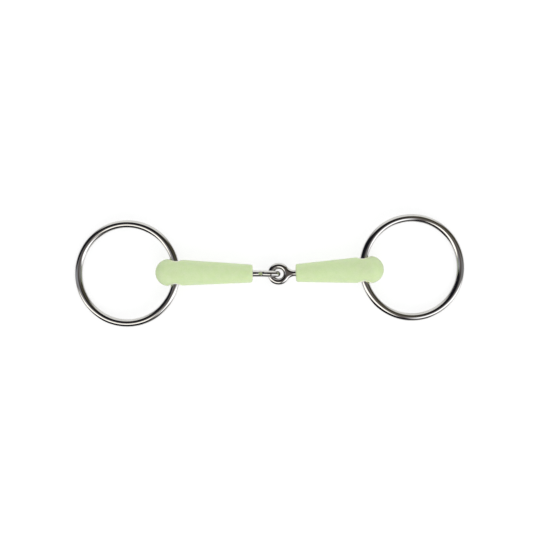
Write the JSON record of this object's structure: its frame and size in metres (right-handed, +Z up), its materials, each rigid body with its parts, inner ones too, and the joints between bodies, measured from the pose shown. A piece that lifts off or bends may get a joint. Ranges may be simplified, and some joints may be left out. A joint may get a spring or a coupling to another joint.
{
  "type": "snaffle bit",
  "caption": "Single-jointed loose-ring snaffle bit with tapered moulded cannons over linked steel cores, lying flat.",
  "frame": {"origin": "on the floor, under the middle of the whole bit", "axes": "+X along the mouthpiece, +Y along the ring holes, +Z up from the floor that the bit lies on"},
  "size_m": [0.2746, 0.0794, 0.019],
  "materials": {
    "ring_steel": "polished stainless steel",
    "core_steel": "polished stainless steel",
    "cannon_plastic": "semi-matt moulded apple green"
  },
  "bodies": {
    "left_cannon": {"left_core": "core_steel", "left_cover": "cannon_plastic"},
    "right_cannon": {"right_core": "core_steel", "right_cover": "cannon_plastic"},
    "left_loose_ring": {"left_ring": "ring_steel"},
    "right_loose_ring": {"right_ring": "ring_steel"}
  },
  "joints": [
    {"name": "centre_fold", "type": "hinge", "parent": "left_cannon", "child": "right_cannon", "pos_m": [0.00083, -0.00258, 0.00765], "axis": [-0.0462, 0.9989, 0], "range_deg": [-77, 83]},
    {"name": "left_ring_swing", "type": "hinge", "parent": "left_cannon", "child": "left_loose_ring", "pos_m": [-0.0662, -0.00145, 0.0094], "axis": [0.0209, -0.9998, 0], "range_deg": [-97, 83]},
    {"name": "right_ring_swing", "type": "hinge", "parent": "right_cannon", "child": "right_loose_ring", "pos_m": [0.06624, 0.00045, 0.00939], "axis": [-0.0506, 0.9987, 0], "range_deg": [-97, 83]}
  ]
}
